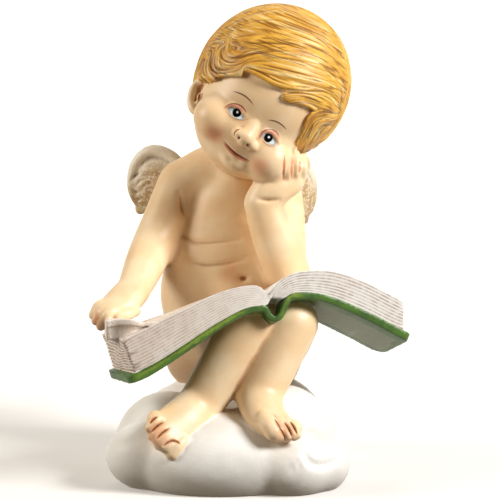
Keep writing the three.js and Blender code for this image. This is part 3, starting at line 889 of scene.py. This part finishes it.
def facing_viewer(points):
    """How far points of the hair are on the side that faces the viewer, from 0 to 1."""
    offset = points - np.array(in_head(*CAP_CENTRE))
    facing = offset @ -np.array(AHEAD) / np.linalg.norm(offset, axis=1)
    return np.clip((facing - FRONT_STARTS) / (FRONT_FULL - FRONT_STARTS), 0, 1)


# How far the hair is raised, and how deep the broad waves and the fine locks are cut into it
HAIR_RISE = 0.5
WAVE_DEPTH = 0.8
LOCK_DEPTH = 0.6
hair = knead("hair", [hair_cap()], grain=0.34, strokes=6)
hair_surface = surface_of(hair)
temples = [seen(hair_surface, place) for place in TEMPLES]
front = facing_viewer(points_of(hair))
back = 1 - front
waves = front * front_grooves(hair, gap=10, width=2.8, seed=3)
waves += back * crown_grooves(hair, temples, count=26, width=1.1, seed=2)
locks = front * front_grooves(hair, gap=3.7, width=0.85, seed=4)
locks += back * crown_grooves(hair, temples, count=70, width=0.5, seed=7)
relief = HAIR_RISE - (WAVE_DEPTH * waves + LOCK_DEPTH * locks)
move_points(hair, points_of(hair) + normals_of(hair) * relief[:, None])
hair_wash = np.clip(0.25 * waves + 0.75 * locks, 0, 1)


def strand_marks(clay):
    """Give each point its place in millimetres across the combed lines and round the crown.

    A third mark says how far the combed lines hold there, and the lines round the crown for the rest.
    """
    points = points_of(clay)
    to_millimetres = (HEAD - EYE).length / FOCAL
    marks_there = {
        "comb": field_at(strand_field(), shown_at(points)) * to_millimetres,
        "crown": crown_turn(points, temples)[2] * 2 * np.pi * CAP_RADII[0],
        "front": facing_viewer(points),
    }
    for name, values in marks_there.items():
        clay.data.attributes.new(name, "FLOAT", "POINT").data.foreach_set("value", values)


def strand_lines(tree, width, length):
    """Uneven lines along the strands, each about a width across and a length long in millimetres."""
    place = node(tree, "ShaderNodeTexCoord").outputs["Object"]
    slow = node(tree, "ShaderNodeVectorMath", {0: place, "Scale": 1 / (length * MM)}, operation="SCALE")
    lines = []
    for name in ("crown", "comb"):
        strand = node(tree, "ShaderNodeMath", {0: mark_of(tree, name), 1: 1 / width}, operation="MULTIPLY")
        fast = node(tree, "ShaderNodeCombineXYZ", {0: strand.outputs[0]}).outputs[0]
        both = node(tree, "ShaderNodeVectorMath", {0: slow.outputs[0], 1: fast}, operation="ADD").outputs[0]
        links = {"Vector": both, "Scale": 1, "Detail": 2, "Roughness": 0.6}
        lines.append(node(tree, "ShaderNodeTexNoise", links).outputs["Fac"])
    return node(tree, "ShaderNodeMix", {0: mark_of(tree, "front"), 2: lines[0], 3: lines[1]}).outputs[0]


def gold_paint():
    """Yellow ochre over the whole head, pale gold brushed on the strands, a brown wash between them."""
    material, tree, shader = new_paint("gold_paint", 0.48)
    coat = glaze(tree, mottle(tree, 9), "#e6af45", "#d29733")
    coat = glaze(tree, fade(tree, strand_lines(tree, 0.9, 11), 0.52, 0.64, 0.0, 0.6), coat, "#fae3a2")
    coat = glaze(tree, fade(tree, strand_lines(tree, 0.6, 8), 0.52, 0.61, 0.0, 0.8), coat, "#7a4c16")
    coat = glaze(tree, fade(tree, mark_of(tree, "wash"), 0.15, 0.8, 0.0, 0.9), coat, "#64390f")
    tree.links.new(coat, shader.inputs["Base Color"])
    brush_marks(tree, shader, 0.5, 0.05)
    return material


paint_over(hair, gold_paint())
marks.append((points_of(hair), hair_wash, 0 * hair_wash))


# Wings
# Two stubby wings behind the shoulders, each a rounded leading edge with a fan of feathers under
# it, modelled and cast with the figure. Painted cream, with a brown wash over the feathers.
RIM = ((3, 3), (10, 13), (19.5, 16.2), (26.4, 10.4), (28, 1.5), (26.4, -4))


def wing(side, root, sweep):
    """The forms of one wing, and points along its rim."""
    turn = Quaternion((0, 0, 1), math.radians(side * sweep))

    def in_wing(out, up, back):
        return root + turn @ Vector((side * out, back, up))

    width = turn @ Vector((side, 0, 0))
    rim = [in_wing(out, up, -0.8) for out, up in RIM]
    forms = [
        limb(rim, (2.4, 2.8, 3, 2.8, 2.3, 1.7), flat=(0.9,), across=(0, 1, 0)),
        limb([in_wing(-4, -6, 0), in_wing(6, 1, 0)], (4.6, 5)),
        ball(in_wing(16, 2.5, 0), (13, 4.8, 14), turn),
    ]
    for i in range(4):
        top = in_wing(23.5 - 4.6 * i, 4, 0)
        tip = in_wing(25 - 5 * i, -7.6 - 3 * i, 0.6)
        forms.append(limb([top, top.lerp(tip, 0.5), tip], (1.2, 2.7, 2.2), flat=(0.7,), across=width))
    return forms, spline(rim, np.linspace(0, 1, 60))


right_wing, right_rim = wing(-1, Vector((-20, 35, 104)), 14)
left_wing, left_rim = wing(1, Vector((7.5, 35, 99)), 51)
wings = knead("wings", right_wing + left_wing, grain=0.6, strokes=5)
# The edges of small feathers on the wing that shows, in photograph pixels
FEATHER_EDGES = (
    ((131, 181), (134, 176.5), (140, 173)), ((139, 177), (146, 175), (153, 176)),
    ((136.5, 185), (141, 180.5), (148, 178)), ((130.5, 188), (136, 192.5), (143, 190)),
    ((143, 187), (147, 184), (152, 183.5)), ((134, 196), (138.5, 200), (143, 198)),
)
wing_surface = surface_of(wings)
for line in FEATHER_EDGES:
    press(wings, [seen(wing_surface, place) for place in line], width=0.6, depth=0.7)


def cream_paint():
    """Cream paint on the upper rim, with brown thinned over the feathers and gathered in their grooves."""
    material, tree, shader = new_paint("cream_paint", 0.5)
    coat = glaze(tree, mottle(tree, 3), "#cdb288", "#a98659")
    coat = glaze(tree, mottle(tree, 1.2, 0.5, 0.62), coat, "#ddcbaa")
    coat = glaze(tree, mark_of(tree, "worn"), coat, "#f7eedb")
    coat = glaze(tree, fade(tree, mark_of(tree, "wash"), 0.05, 0.7, 0.0, 0.8), coat, "#7d6247")
    tree.links.new(coat, shader.inputs["Base Color"])
    brush_marks(tree, shader, 0.7, 0.05)
    return material


paint_over(wings, cream_paint())
# The pale rim: how far from the leading edge it is full and gone, and the heights that it comes in between
RIM_FULL = 2
RIM_GONE = 8
SHOULDER_HEIGHTS = (101, 111)
to_rim, _ = nearest_of(points_of(wings), np.concatenate([right_rim, left_rim]))
on_rim = np.clip((RIM_GONE - to_rim) / (RIM_GONE - RIM_FULL), 0, 1)
on_rim *= np.interp(points_of(wings)[:, 2], SHOULDER_HEIGHTS, (0, 1))
marks.append((points_of(wings), hollows(wings, strokes=8, depth=0.3), on_rim))


# Book
# A large book lying open across the lap: two blocks of pages on one bent cover, with the top leaf on
# the left lifted under the hand. Cast with the figure, the page edges scored with a comb.
GUTTER = Vector((6.8, -38, 70.6))
BOOK_YAW = math.radians(15)
PAGE_DEPTH = 27
OVERHANG = 1.5
BOARD_AT_SPINE = 2.2
BOARD_AT_ENDS = 3.2
HALF_SPREAD = 54
# How far the book falls away from the viewer, in degrees, from its left end to its right
SLOPES = (3.5, 9.5, 13, 15, 17, 18, 18)
SKEW = 0.1
# Profiles of the near side, across and up from the gutter
LEFT_TOP = ((1.2, 0.3), (-2, 3.5), (-5, 4.9), (-10, 4.7), (-17, 3.2), (-23.5, 0.5), (-32.5, -3.6),
            (-40, -6.9), (-45, -9.4), (-53.8, -13.1))
LEFT_BOTTOM = ((0, -2), (-6.5, -3), (-10, -3.9), (-16.5, -6.9), (-23.5, -11), (-30, -15), (-39.5, -20.6),
               (-49.8, -25.6))
RIGHT_TOP = ((0, 0.3), (1.4, 2.7), (4.5, 6.3), (9.4, 8.9), (16, 9.8), (23.5, 9.5), (31, 7.5), (39, 4.1),
             (47, 0), (52.4, -3))
RIGHT_BOTTOM = ((4.9, -0.5), (8.3, 1), (11, 1.5), (18, 0.9), (26, -1.4), (33, -4.5), (40, -7.8),
                (47, -11.6), (52.6, -13.9))
COVER_TOP = ((-52.6, -26.2), (-46.5, -24.2), (-39.3, -20.4), (-30, -14.9), (-20, -8.8), (-10, -3.8),
             (-4, -2.6), (-1, -2.8), (0.4, -4.6), (1.4, -6.2), (2.9, -6.5), (4.2, -5), (5.3, -2.2),
             (6.8, 0.2), (9, 1.4), (12.5, 1.7), (19, 1), (27, -1.6), (35, -5.2), (43, -9.1), (50, -12.9),
             (55, -15.3))
LEAF = ((-39, -7.2), (-43.6, -7.9), (-46.3, -7.6), (-49.2, -7), (-52.5, -6.8), (-55.5, -7), (-58.6, -7.4))
LEAF_THICKNESS = (1, 1.4, 1.8, 2, 2.2, 2.4, 2.4)


def in_book(across, up, away):
    """Points from the book's own places: across from the gutter, up from it, and away from the viewer."""
    slope = np.tan(np.radians(spline(SLOPES, (across + HALF_SPREAD) / (2 * HALF_SPREAD))))
    across = across - SKEW * away * np.clip(-across / HALF_SPREAD, 0, 1)
    x = across * math.cos(BOOK_YAW) - away * math.sin(BOOK_YAW)
    y = across * math.sin(BOOK_YAW) + away * math.cos(BOOK_YAW)
    return np.stack([x, y, up - away * slope], axis=1) + np.array(GUTTER)


def slab(runs, layers, steps):
    """A block of small faces, with its three coordinates from 0 to 1: a grid drawn out in steps."""
    bpy.ops.mesh.primitive_grid_add(x_subdivisions=runs, y_subdivisions=layers, size=1, location=(0, 0, 0))
    clay = bpy.context.object
    bpy.ops.object.mode_set(mode="EDIT")
    for _ in range(steps):
        bpy.ops.mesh.extrude_region_move(TRANSFORM_OT_translate={"value": (0, 0, 1 / steps)})
    bpy.ops.object.mode_set(mode="OBJECT")
    return clay, (points_of(clay) + np.array([0.5, 0.5, 0])).T


def page_block(top, bottom, leaves, wave, score_wash):
    """A block of pages, its edges scored between the leaves. wave is how far the fore-edge lines wander."""
    clay, (run, layer, away) = slab(90, 2 * leaves, 30)
    upper, lower = spline(top, run), spline(bottom, run)
    place = lower + (upper - lower) * layer[:, None]
    inside = (layer > 0.01) & (layer < 0.99)
    groove = np.where((np.round(layer * 2 * leaves).astype(int) % 2 == 1) & inside, 1.0, 0.0)
    near, far, end = away < 0.01, away > 0.99, run > 0.99
    outward = np.sign(top[-1][0])
    across = place[:, 0] - outward * 0.4 * groove * end
    ripple = np.sin(5.2 * away + 5 * layer) + 0.45 * np.sin(13 * away + 11 * layer)
    wander = wave * ripple * np.clip((run - 0.95) / 0.05, 0, 1) * inside
    score = 0.25 * groove
    move_points(clay, in_book(across, place[:, 1] + wander, away * PAGE_DEPTH + score * near - score * far))
    face_outwards(clay)
    wash = groove * np.where(end, 1.0, np.where(near | far, score_wash, 0))
    marks.append((points_of(clay), wash, 0 * groove))
    return clay


def rounded(apart, radius):
    """How far a corner of the given radius stands back at a distance from its end."""
    return radius - np.sqrt(np.maximum(0, radius**2 - (radius - np.minimum(apart, radius))**2))


def cover_board():
    """One bent board under both blocks. Its marks: a lining below, and scuffed paint with painted highlight
    along the near edge.
    """
    clay, (run, layer, away) = slab(200, 4, 40)
    line = spline(COVER_TOP, run)
    step = 1e-3
    tangent = spline(COVER_TOP, np.minimum(run + step, 1)) - spline(COVER_TOP, np.maximum(run - step, 0))
    tangent /= np.linalg.norm(tangent, axis=1)[:, None]
    board = BOARD_AT_SPINE + (BOARD_AT_ENDS - BOARD_AT_SPINE) * np.abs(line[:, 0]) / HALF_SPREAD
    drop = (1 - layer) * board
    across = line[:, 0] + tangent[:, 1] * drop
    up = line[:, 1] - tangent[:, 0] * drop
    to_end = np.minimum(line[:, 0] - COVER_TOP[0][0], COVER_TOP[-1][0] - line[:, 0])
    near = -OVERHANG + rounded(to_end, 2)
    far = PAGE_DEPTH + OVERHANG - rounded(to_end, 6)
    depth = near + away * (far - near)
    move_points(clay, in_book(across, up, depth))
    face_outwards(clay)
    # Paler patches on the upper part of the near edge: scuffed paint and painted highlight
    patches = np.clip(0.3 + 0.7 * np.sin(13 * run - 0.4) + 0.3 * np.sin(41 * run), 0, 1)
    scuffed_and_highlit = np.where((away < 0.01) & (layer > 0.4) & (layer < 0.9), patches, 0)
    marks.append((points_of(clay), np.where((layer < 0.01) & (to_end > 3), 1.0, 0), scuffed_and_highlit))
    return knead("cover", [clay], grain=0.5, strokes=2)


def lifted_leaf():
    """The top leaf at the far left, curled up under the hand over a hollow, its near edge worn ragged."""
    clay, (run, layer, away) = slab(40, 4, 24)
    line = spline(LEAF, run)
    thickness = spline(LEAF_THICKNESS, run)
    ragged = 3.5 + 0.8 * np.sin(9 * run)
    depth = ragged + away * (PAGE_DEPTH - 1 - ragged)
    fall = 0.05 * (depth - ragged)
    drawn_in = 0.25 * (depth - ragged) * run
    below = np.interp(-line[:, 0], [-across for across, _ in LEFT_TOP], [up for _, up in LEFT_TOP]) - 0.5
    hollow = np.clip((away - 0.03) / 0.1, 0, 1)
    lower = line[:, 1] - 0.5 * thickness
    lower += np.minimum(below - lower, 0) * hollow
    upper = line[:, 1] + 0.5 * thickness - fall
    move_points(clay, in_book(line[:, 0] + drawn_in, lower + (upper - lower) * layer, depth))
    face_outwards(clay)
    marks.append((points_of(clay), np.where((away < 0.01) & (np.abs(layer - 0.5) < 0.3), 0.3, 0), 0 * run))
    return knead("leaf", [clay], grain=0.4, strokes=2)


pages = page_block(LEFT_TOP, LEFT_BOTTOM, leaves=11, wave=0.6, score_wash=0.5)
right_pages = page_block(RIGHT_TOP, RIGHT_BOTTOM, leaves=9, wave=0.25, score_wash=0.7)
combine(pages, right_pages, "UNION")
combine(pages, lifted_leaf(), "UNION")
cover = cover_board()


def page_paint():
    """Off-white paint with a brown wash between the leaves and in pores, and painted light: darker to the
    left, whiter to the right.
    """
    material, tree, shader = new_paint("page_paint", 0.55)
    place = node(tree, "ShaderNodeTexCoord").outputs["Object"]
    across = node(tree, "ShaderNodeSeparateXYZ", {0: place}).outputs["X"]
    # painted light: the pages darker to the left and whiter to the right, as lit from the viewer's right
    coat = glaze(tree, fade(tree, across, -30 * MM, 20 * MM), "#e2d4c6", "#f0ebe4")
    coat = glaze(tree, fade(tree, mottle(tree, 8), 0, 1, 0.0, 0.6), coat, "#ece3d9")
    to_left = fade(tree, across, -10 * MM, -30 * MM, 0.0, 0.6)
    uneven = fade(tree, mottle(tree, 2.5), 0, 1, 0.4, 0.9)
    wash = fade(tree, mark_of(tree, "wash"), 0.05, 0.9)
    pores = mottle(tree, 0.7, 0.62, 0.7)
    for share, strength, colour in ((pores, to_left, "#8d7160"), (wash, uneven, "#7f604a")):
        share = node(tree, "ShaderNodeMath", {0: share, 1: strength}, operation="MULTIPLY").outputs[0]
        coat = glaze(tree, share, coat, colour)
    tree.links.new(coat, shader.inputs["Base Color"])
    brush_marks(tree, shader, 0.8, 0.06)
    return material


# The lining under the cover, from the near edge of the pages on, and how softly it ends
LINING = (4, 24)
LINING_SOFT = 0.5


def green_paint():
    """Leaf green on the boards, yellow-green on the near edge as scuffed paint and painted highlight,
    painted shade at the left end, and a grey-green lining below.
    """
    material, tree, shader = new_paint("green_paint", 0.42)
    coat = glaze(tree, mottle(tree, 5), "#47701c", "#335714")
    # the worn mark on the near edge: scuffed paint and painted highlight in yellow-green
    coat = glaze(tree, fade(tree, mark_of(tree, "worn"), 0.1, 0.9, 0.0, 0.6), coat, "#8fa23a")
    away = Vector((-math.sin(BOOK_YAW), math.cos(BOOK_YAW), 0))
    place = node(tree, "ShaderNodeTexCoord").outputs["Object"]
    across = node(tree, "ShaderNodeSeparateXYZ", {0: place}).outputs["X"]
    # painted shade: the left end of the cover darker
    coat = glaze(tree, fade(tree, across, -45 * MM, -50 * MM, 0.0, 0.7), coat, "#20400c")
    depth = node(tree, "ShaderNodeVectorMath", {0: place, 1: away}, operation="DOT_PRODUCT").outputs["Value"]
    near, far = ((GUTTER.dot(away) + edge) * MM for edge in LINING)
    soft = LINING_SOFT * MM
    lining = fade(tree, mark_of(tree, "wash"), 0.3, 0.7)
    for edge, low, high in ((near, 0.0, 1.0), (far, 1.0, 0.0)):
        share = fade(tree, depth, edge - soft, edge + soft, low, high)
        lining = node(tree, "ShaderNodeMath", {0: lining, 1: share}, operation="MULTIPLY").outputs[0]
    coat = glaze(tree, lining, coat, glaze(tree, mottle(tree, 1.5), "#76805a", "#6b7550"))
    tree.links.new(coat, shader.inputs["Base Color"])
    brush_marks(tree, shader, 0.8, 0.05)
    return material


paint_over(pages, page_paint())
paint_over(cover, green_paint())


# Cloud
# The cloud that the angel sits on is the foot of the casting: soft puffs run together, with a few
# folds drawn into them, and cut flat below. Painted white.
PUFFS = (
    ((-5, 14, 13), (36, 30, 24)),
    ((-4, -8, 9), (33, 34, 17)),
    ((-10, -30, 10), (36, 25, 18)),
    ((-36.5, -31, 11), (17, 15, 13)),
    ((-31, -14, 12), (20, 20, 20)),
    ((12, -16, 12), (21, 24, 23)),
    ((23.5, -34, 9), (14, 14, 12)),
    ((15, -38, 9), (17, 16, 13)),
    ((-27, 26, 11), (17, 17, 17)),
    ((17, 28, 11), (18, 16, 13)),
)
cloud = knead("cloud", [ball(centre, radii, rings=32) for centre, radii in PUFFS], grain=1.4, strokes=16)
bpy.ops.object.select_all(action="DESELECT")
cloud.select_set(True)
bpy.ops.object.mode_set(mode="EDIT")
bpy.ops.mesh.select_all(action="SELECT")
bpy.ops.mesh.bisect(plane_co=(0, 0, 0), plane_no=(0, 0, 1), use_fill=True, clear_inner=True)
bpy.ops.object.mode_set(mode="OBJECT")


def white_paint():
    """White paint, a little grey and warm in the hollows."""
    material, tree, shader = new_paint("white_paint", 0.5)
    coat = glaze(tree, mottle(tree, 18), "#f0ede8", "#e7e2da")
    coat = glaze(tree, fade(tree, mark_of(tree, "wash"), 0.1, 1.0, 0.0, 0.5), coat, "#b9aa98")
    tree.links.new(coat, shader.inputs["Base Color"])
    brush_marks(tree, shader, 1.2, 0.06)
    return material


# Folds in the near right of the cloud, in photograph pixels, with their width and depth in millimetres
FOLDS = (
    (((305, 453), (310, 462), (320, 465.5), (329, 464), (336, 460)), 1.3, 1.4),
    (((291, 464), (293.5, 473)), 1.0, 0.7),
    (((298, 461), (300, 470)), 1.0, 0.7),
)
cloud_surface = surface_of(cloud)
for line, width, depth in FOLDS:
    press(cloud, [seen(cloud_surface, place) for place in line], width, depth)
paint_over(cloud, white_paint())
wash = hollows(cloud, strokes=20, depth=0.6)
marks.append((points_of(cloud), wash, 0 * wash))


# The casting
# All the forms are one body of resin: they are joined into one closed skin, each keeping its paint.
for part in (hair, wings, cover, pages, cloud):
    combine(figure, part, "UNION")
casting = figure
casting.name = "reading_angel_casting"
TRIANGLES = 190_000
made = sum(len(face.vertices) - 2 for face in casting.data.polygons)
modify(casting, "DECIMATE", ratio=min(1, TRIANGLES / made), use_collapse_triangulate=True)


def settle_marks(clay, marks):
    """Give each point of the casting the marks of the nearest point of the form that it came from."""
    places = np.concatenate([points for points, _, _ in marks])
    _, nearest = nearest_of(points_of(clay), places)
    for name, column in (("wash", 1), ("worn", 2)):
        values = np.concatenate([mark[column] for mark in marks])[nearest]
        clay.data.attributes.new(name, "FLOAT", "POINT").data.foreach_set("value", values)


settle_marks(casting, marks)
strand_marks(casting)
casting.data.transform(Matrix.Scale(MM, 4))
casting.data.shade_smooth()
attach(casting, "root")
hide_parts("reading_angel")


# Studio
# A pale sweep of paper, floor and background in one, and soft light from the viewer's right. Its sizes
# and places are in metres, as the finished casting is.
PAPER_SIZE = 2
PAPER_BEND = 0.6
bpy.ops.mesh.primitive_plane_add(size=PAPER_SIZE, location=(0, 0, 0))
floor = bpy.context.object
floor.name = "studio_floor"
bpy.ops.object.mode_set(mode="EDIT")
bpy.ops.mesh.select_all(action="DESELECT")
bpy.ops.object.mode_set(mode="OBJECT")
for edge in floor.data.edges:
    edge.select = all(floor.data.vertices[i].co.y > 0 for i in edge.vertices)
bpy.ops.object.mode_set(mode="EDIT")
bpy.ops.mesh.extrude_region_move(TRANSFORM_OT_translate={"value": (0, 0, PAPER_SIZE)})
bpy.ops.object.mode_set(mode="OBJECT")
modify(floor, "BEVEL", width=PAPER_BEND, segments=16, limit_method="ANGLE")
floor.data.shade_smooth()


def paper():
    """White paper, lit evenly so that it burns out to plain white behind the figure."""
    material, _, shader = new_paint("white_paper", 0.9)
    shader.inputs["Base Color"].default_value = linear("#e2dfda")
    shader.inputs["Emission Color"].default_value = linear("#ffffff")
    shader.inputs["Emission Strength"].default_value = 0.15
    return material


floor.data.materials.append(paper())
# The figure takes no light off the paper, as with black flags laid round it.
floor.visible_diffuse = False


def soft_light(name, place, aim, size, power, code):
    bpy.ops.object.light_add(type="AREA", location=place)
    light = bpy.context.object
    light.name = name
    light.data.size = size
    light.data.energy = power
    light.data.color = linear(code)[:3]
    light.rotation_euler = (Vector(aim) - Vector(place)).to_track_quat("-Z", "Y").to_euler()


CENTRE = (0, 0, 0.09)
soft_light("key_right", (0.7, -0.38, 0.58), CENTRE, 0.3, 12.5, "#ffffff")
soft_light("fill_left", (-0.85, -0.15, 0.45), CENTRE, 0.4, 6.5, "#fffaf2")
soft_light("backdrop", (0, 0.35, 0.7), (0, 1, 0.25), 0.6, 6, "#ffffff")
world = bpy.data.worlds.new("studio")
bpy.context.scene.world = world
world.use_nodes = True
world.node_tree.nodes["Background"].inputs["Color"].default_value = linear("#ffe6c2")
world.node_tree.nodes["Background"].inputs["Strength"].default_value = 0.14
bpy.context.scene.view_settings.view_transform = "Standard"
